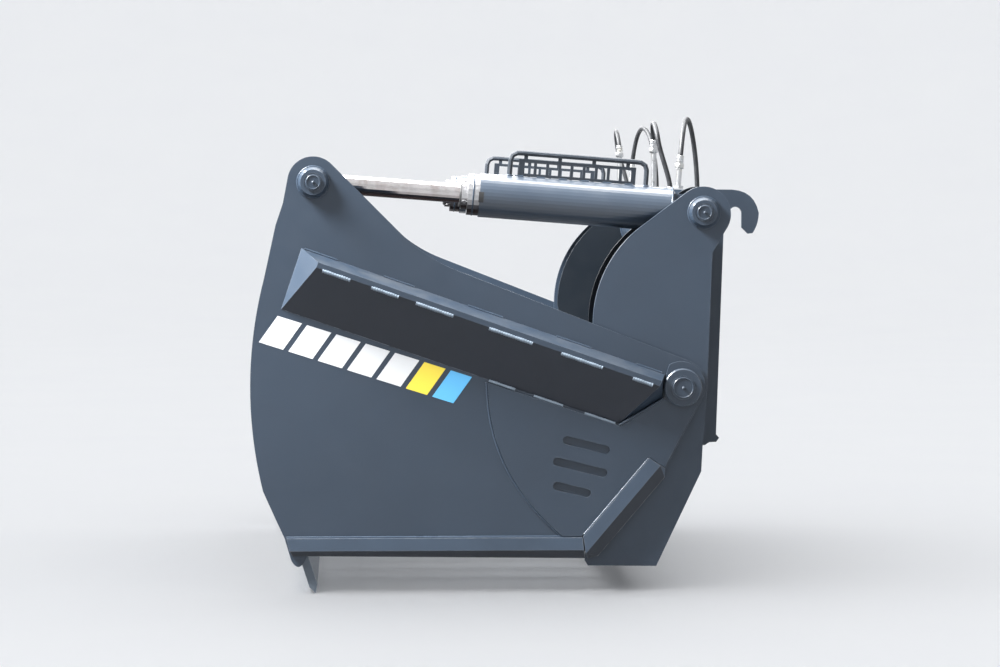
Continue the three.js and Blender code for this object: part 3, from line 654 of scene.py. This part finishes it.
for side, hand in HANDS:
    for kind, (x, z), face, body in PINS:
        nipple(f"{kind}_nipple_{hand}", x, face + PIN_HEAD, z, side, body)
        pin_face(f"{kind}_rim_{hand}", x, face + PIN_HEAD, z, side, 20, body)
        weld(f"{kind}_weld_{hand}", [ring_line(x, side * (face + 1.6), z, 41.2)], body, 2.4, True)
    nipple(f"pivot_nipple_{hand}", 0, 927.9, 0, side, "frame")
    pin_face(f"pivot_rim_{hand}", 0, 927.9, 0, side, 28, "frame")

    # jaw side: the rib's stitches, the knives and the cover plate
    nose = dashes(side, NOSE_STITCHES, 967.2, rib_nose)
    weld(f"rib_nose_stitches_{hand}", nose, "jaw", 5.2, material=STITCH_HIGHLIGHT_PAINT)
    weld(f"rib_top_stitches_{hand}", dashes(side, TOP_STITCHES, 901.6, rib_top, 1.2), "jaw", 2.6)
    foot = dashes(side, FOOT_STITCHES, 902.2, rib_foot, -2.0)
    weld(f"rib_foot_stitches_{hand}", foot, "jaw", 4.2, material=STITCH_HIGHLIGHT_PAINT)
    end = mirrored(side, [(-50.8, 909.6, -29.4), (-165.5, 909.6, -98)])
    weld(f"rib_end_weld_{hand}", [end], "jaw", 3)
    curve = [(-512.5, 14), *bezier((-510.5, -20), (-499, -233.5), (-315.5, -390.5))]
    weld(f"cover_weld_{hand}", [mirrored(side, [(x, 902.5, z) for x, z in curve])], "jaw", 3)
    cover = mirrored(side, [(-86, 906, -181), (-47, 906, -206)])
    weld(f"cover_rear_weld_{hand}", [cover], "jaw", 2.6)
    bottom = mirrored(side, [(-1033, 903, -389.4), (-268, 903, -389.4)])
    weld(f"bottom_knife_weld_{hand}", [bottom], "jaw", 2.6)
    diagonal = mirrored(side, [(-89.2084, 909.6, -185.2476), (-257.4284, 909.6, -383.3676)])
    weld(f"diagonal_knife_weld_{hand}", [diagonal], "jaw", 2.4)

    # jaw inside: shell, cross tube and lug
    shell = arc_line(side * 886.2, 1083.5, 158.9, 195.8, 24)
    weld(f"shell_weld_{hand}", [shell], "jaw", 3.2)
    lug = [arc_line(side * y, 1083.3, 158.9, 172.2, 10) for y in (688.6, 703.4)]
    weld(f"lug_weld_{hand}", lug, "jaw", 2.8)
    rings = [ring_line(-951, side * y, 355, 58.4) for y in (886.3, 703.4, 688.6)]
    weld(f"cross_tube_weld_{hand}", rings, "jaw", 3, True)

    # frame: tube, back wall, beam and hook plates
    weld(f"top_tube_weld_{hand}", [ring_line(20, side * 688.4, 400, 58.4)], "frame", 3, True)
    wall = [(74, 866, 350), (50.4, 866, -197), (-56, 866, -364)]
    weld(f"back_wall_weld_{hand}", [mirrored(side, wall)], "frame", 3)
    loop = [(-191.5, 866, -464), (-70.5, 866, -464), (-70.5, 866, -364.5), (-191.5, 866, -364.5),
            (-191.5, 866, -464)]
    weld(f"beam_weld_{hand}", [mirrored(side, loop)], "frame", 3.4)
    hook = [mirrored(side, [(74.4, y, 345), (54.0, y, -128)]) for y in (498.4, 516.6)]
    weld(f"hook_welds_{hand}", hook, "frame", 3.2)

# ---------------------------------------------------------------- cylinders

RAM_Y = 785
RAM_ANGLE = math.atan2(ROD_PIN[1] - REAR_PIN[1], REAR_PIN[0] - ROD_PIN[0])
RAM_LENGTH = math.dist(REAR_PIN, ROD_PIN)
AHEAD = Vector((-math.cos(RAM_ANGLE), 0, math.sin(RAM_ANGLE)))
ABOVE = Vector((math.sin(RAM_ANGLE), 0, math.cos(RAM_ANGLE)))


def on_ram(side, d, out=0.0, h=0.0):
    """A point d from the base pin along the cylinder, outboard of its axis and above it."""
    foot = at(REAR_PIN[0], side * (RAM_Y + out), REAR_PIN[1])
    return foot + (AHEAD * d + ABOVE * h) / 1000


def ram_ring(side, d, r, steps=48):
    turns = [2 * math.pi * k / steps for k in range(steps + 1)]
    return [on_ram(side, d, r * math.cos(t), r * math.sin(t)) for t in turns]


def barrel_slot_shade(side):
    """A thin black patch near the mouth of the barrel, on its outer side: painted shade standing for a
    spanner slot.
    """
    verts, faces = [], []
    leans = [math.radians(-19 + 28 * k / 6) for k in range(7)]
    for r in (56.9, 57.7):
        for t in leans:
            verts += [on_ram(side, d, r * math.cos(t), r * math.sin(t)) for d in (575.5, 588.5)]
    for k in range(0, 12, 2):
        faces += [(k, k + 1, k + 3, k + 2), (k + 14, k + 16, k + 17, k + 15),
                  (k, k + 2, k + 16, k + 14), (k + 1, k + 15, k + 17, k + 3)]
    faces += [(0, 14, 15, 1), (12, 13, 27, 26)]
    return verts, faces


for side, hand in HANDS:
    barrel, rod = f"barrel_{hand}", f"rod_{hand}"
    weld(f"base_cap_weld_{hand}", [ram_ring(side, 79.5, 57.2)], barrel, 3, True)
    feet = []
    for d in (150, 510):
        turns = [2 * math.pi * k / 24 for k in range(25)]
        feet.append([on_ram(side, d + 8 * math.cos(t), 8 * math.sin(t), 58.2) for t in turns])
    weld(f"guard_foot_welds_{hand}", feet, barrel, 2.2, True)
    seam = [[on_ram(side, d, 2.6, 58.6), on_ram(side, d + 22, 2.6, 58.6)]
            for d in range(184, 480, 58)]
    weld(f"guard_stitches_{hand}", seam, barrel, 1.9)
    foot = on_ram(side, 0)
    lip = [(25.6, 632), (37, 632), (37, 635), (34, 638), (27.5, 638), (25.6, 636.5)]
    new_piece(f"wiper_seal_{hand}", *hollow(lip, foot, AHEAD), SEAL, barrel, 35, "hose_rubber")
    ring = [(53.7, 600), (55.2, 601), (55.2, 604), (53.7, 605), (52.5, 602.5)]
    new_piece(f"gland_ring_{hand}", *hollow(ring, foot, AHEAD), PAINT, barrel, 35, "frame_paint")
    new_piece(f"barrel_slot_shade_{hand}", *barrel_slot_shade(side), SEAL, barrel, 35, "frame_paint")
    screw = [(0, 40), (6.2, 40), (6.2, 42.2), (5.2, 43.0), (2.6, 43.0), (2.2, 42.2), (0, 42.2)]
    for number in range(4):
        t = math.radians(60 + 90 * number)
        axis = ABOVE * math.sin(t) + Vector((0, side * math.cos(t), 0))
        new_piece(f"gland_screw_{number + 1}_{hand}", *lathe(screw, on_ram(side, 625), axis, 20),
                  GLAND_STEEL, barrel, 35, "frame_paint")
    eye = ram_ring(side, RAM_LENGTH - 60.5, 26.4, 32)
    weld(f"rod_eye_weld_{hand}", [eye], rod, 2.4, True)
    clips = []
    band = [(6.2, -7), (8.4, -7), (8.4, 7), (6.2, 7)]
    for d in (190, 430):
        clips.append(hollow(band, on_ram(side, d, -70), AHEAD, 24))
        bar = resample([on_ram(side, d - 7, -59.5), on_ram(side, d + 7, -59.5)], 0.007)
        clips.append(tube(bar, 0.004, 8))
    new_piece(f"pipe_clips_{hand}", *join(*clips), ZINC, barrel, 35, "zinc")


# ---------------------------------------------------------------- tines

def tine_part():
    """Shank with its thread and nut behind the beam, collar, and the long forged taper."""
    body = [(0, -945), (1.6, -944.4), (3.4, -942), (8, -905), (11.2, -820), (14, -735),
            (17.2, -560), (19, -380), (20, -260), (20, -226), (21.4, -223), (25, -220.6),
            (25, -191.6), (24, -190.4), (16, -190.3), (16, -68), (14.6, -66)]
    for turn in range(-66, -37, 3):
        body += [(14.6, turn), (16, turn + 0.9), (16, turn + 1.5), (14.6, turn + 2.4)]
    body += [(14, -35), (12.5, -34), (0, -34)]
    start, axis = at(0, 0, -416), Vector((1, 0, 0))
    nut = [(15.6, -71.6), (24.5, -71.6), (26.5, -69.6), (26.5, -50), (24.5, -48), (15.6, -48)]
    washer = [(17.2, -72), (29, -72), (29, -69.6), (17.2, -69.6)]
    return join(lathe(body, start, axis, 32), hollow(nut, start, axis, 6),
                hollow(washer, start, axis, 32))


TINE_PITCH = 0.215
tine_verts, tine_faces = tine_part()
for number in range(8):
    y = (number - 3.5) * TINE_PITCH
    moved = [v + Vector((0, y, 0)) for v in tine_verts]
    tine = new_piece(f"tine_forging_{number + 1}", moved, tine_faces, TINE, "frame", 35,
                     "tine_steel")
    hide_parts(f"tine_{number + 1}")


# ---------------------------------------------------------------- film on the jaw sides

FILM_START, FILM_SLOPE = (-1092, 158), math.radians(-17.6)
FILM_HALF, FILM_LEAN, FILM_GAP = 40, 26, 14
FILM_BARS = ((66, WHITE),) * 5 + ((58, YELLOW), (58, BLUE))


def film(name, side, corners, material):
    """A thin slip of film on the jaw side plate, its corners given along and across it."""
    c, s = math.cos(FILM_SLOPE), math.sin(FILM_SLOPE)
    flat = [(FILM_START[0] + u * c - v * s, FILM_START[1] + u * s + v * c) for u, v in corners]
    verts = [at(x, side * y, z) for y in (900.05, 900.45) for x, z in flat]
    n = len(flat)
    faces = [tuple(range(n)), tuple(reversed(range(n, 2 * n)))]
    faces += [(k, (k + 1) % n, n + (k + 1) % n, n + k) for k in range(n)]
    if side > 0:
        faces = [tuple(reversed(f)) for f in faces]
    new_piece(name, verts, faces, material, "jaw", 35)


for side, hand in HANDS:
    left = 0
    for number, (width, material) in enumerate(FILM_BARS):
        right = left + width
        corners = [(left, -FILM_HALF), (right, -FILM_HALF),
                   (right + FILM_LEAN, FILM_HALF), (left + FILM_LEAN, FILM_HALF)]
        film(f"film_bar_{number + 1}_{hand}", side, corners, material)
        left = right + FILM_GAP

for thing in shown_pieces():
    grab_only.objects.link(thing)
